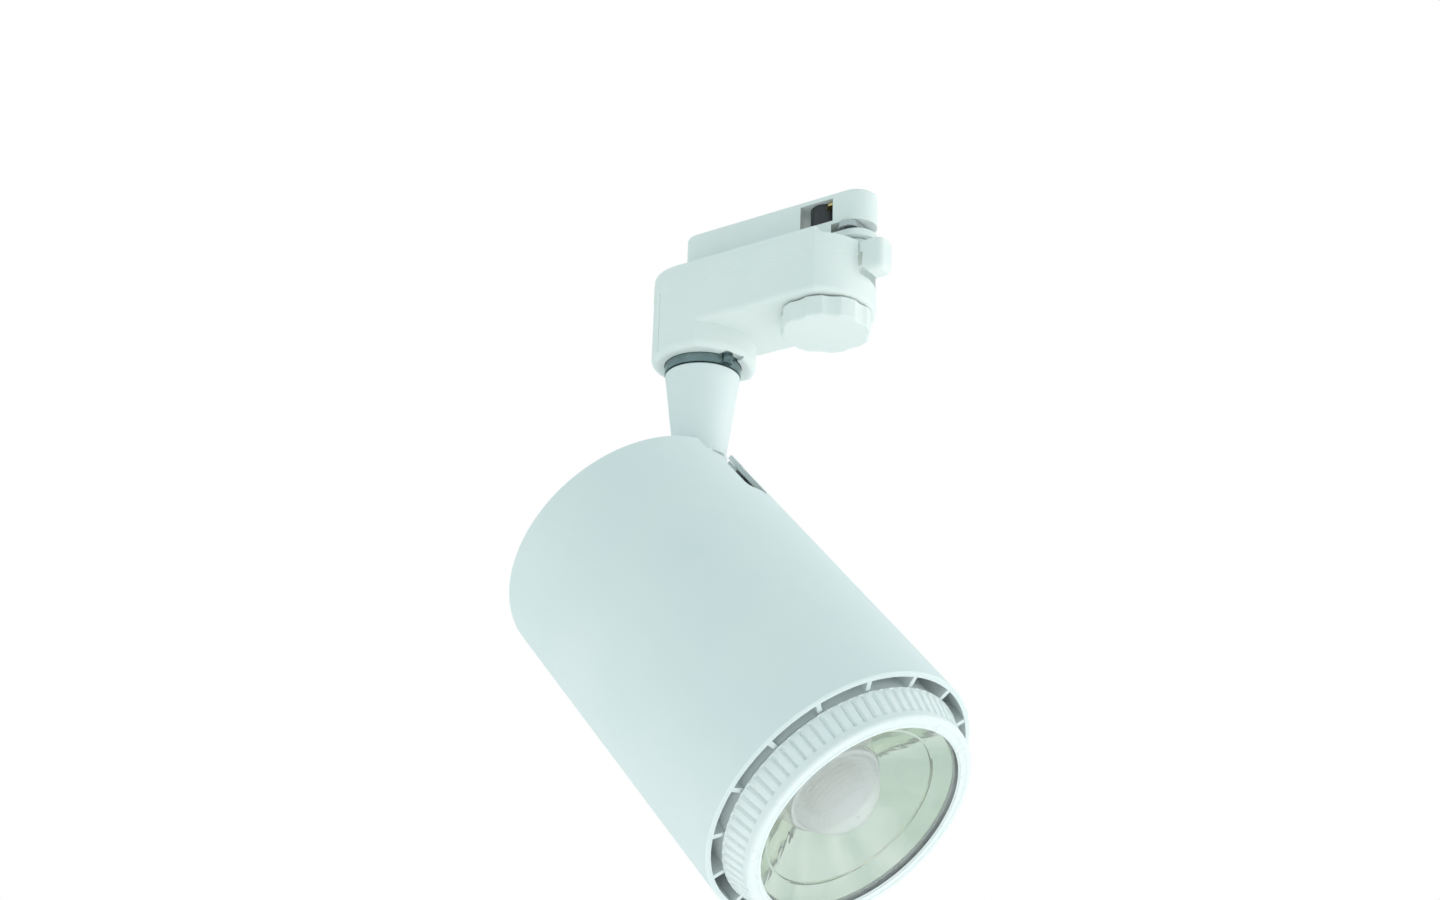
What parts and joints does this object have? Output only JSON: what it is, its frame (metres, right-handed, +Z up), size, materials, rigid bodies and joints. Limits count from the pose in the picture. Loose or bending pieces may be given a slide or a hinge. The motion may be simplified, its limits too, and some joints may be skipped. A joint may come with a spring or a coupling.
{
  "type": "track spotlight",
  "caption": "Adjustable LED spotlight on a three-circuit track adapter, with a conical swivel stem, a tubular head, a ribbed front ring and a mirrored reflector.",
  "frame": {"origin": "on the pan axis, in the plane where the adapter's flange meets the underside of the track", "axes": "+Z up into the track, +X along the track from the stem towards the selector knob and lock lever, +Y across the track"},
  "size_m": [0.1517, 0.0957, 0.2303],
  "materials": {
    "white_powder_coat": "satin powder coat",
    "white_plastic": "fine moulded texture",
    "white_bezel": "smooth moulded",
    "black_plastic": "moulded",
    "ring_steel": "turned, dark",
    "steel": "zinc plated",
    "brass": "bright",
    "heat_sink_metal": "extruded",
    "reflector_metal": "vapour-coated mirror",
    "clear_glass": "clear",
    "clear_lens": "clear, lower part dimpled",
    "grey_rubber": "matte",
    "pad_grey": "matte silicone",
    "circuit_board": "solder mask",
    "ceramic_board": "ceramic",
    "phosphor": "silicone phosphor",
    "winding": "taped winding",
    "can_metal": "sleeved can"
  },
  "bodies": {
    "adapter": {"adapter_shell": "white_plastic", "track_insert": "white_plastic", "insert_screws": "steel", "terminal_block": "black_plastic", "terminal_screws": "brass", "neutral_contact": "brass", "earth_contact": "steel", "stop_ring": "ring_steel"},
    "selector": {"selector_knob": "white_plastic", "selector_shaft": "black_plastic", "contact_rotor": "black_plastic", "phase_tongues": "brass"},
    "track_lock": {"lock_lever": "white_plastic", "lock_shaft": "steel", "latch_dog": "steel"},
    "swivel": {"stem": "white_powder_coat", "pan_nipple": "steel", "pan_washer": "steel", "pan_nut": "steel", "pan_stop_pin": "steel"},
    "lamp_head": {"housing": "white_powder_coat", "rear_cap": "white_powder_coat", "rear_cap_screws": "steel", "tilt_bracket": "steel", "bracket_screws": "steel", "tilt_pin": "steel", "tilt_nut": "steel", "tilt_washers": "black_plastic", "mounting_plate": "steel", "mounting_plate_screws": "steel", "driver_case": "white_plastic", "driver_lid": "white_plastic", "driver_screws": "steel", "driver_board": "circuit_board", "driver_transformer": "winding", "driver_capacitors": "can_metal", "led_leads": "grey_rubber", "heat_sink": "heat_sink_metal", "thermal_pad": "pad_grey", "led_board": "ceramic_board", "led_emitter": "phosphor", "led_holder": "white_plastic", "holder_screws": "steel", "dome_lens": "clear_lens"},
    "front_ring": {"bezel": "white_bezel", "reflector": "reflector_metal", "retaining_ring": "steel", "glass_gasket": "grey_rubber", "front_glass": "clear_glass"}
  },
  "joints": [
    {"name": "circuit_select", "type": "hinge", "parent": "adapter", "child": "selector", "pos_m": [0.0474, 0, -0.025], "axis": [0, 0, 1], "range_deg": [0, 135]},
    {"name": "track_lock_turn", "type": "hinge", "parent": "adapter", "child": "track_lock", "pos_m": [0.0585, 0, -0.002], "axis": [0, 0, 1], "range_deg": [0, 90]},
    {"name": "pan", "type": "hinge", "parent": "adapter", "child": "swivel", "pos_m": [0, 0, -0.034], "axis": [0, 0, 1], "range_deg": [-170, 170]},
    {"name": "tilt", "type": "hinge", "parent": "swivel", "child": "lamp_head", "pos_m": [0, 0, -0.086], "axis": [0.0698, 0.9976, 0], "range_deg": [-47.3, 42.7]},
    {"name": "front_ring_twist", "type": "hinge", "parent": "lamp_head", "child": "front_ring", "pos_m": [0.05757, -0.00402, -0.18039], "axis": [0.6765, -0.0473, -0.7349], "range_deg": [0, 20]}
  ]
}
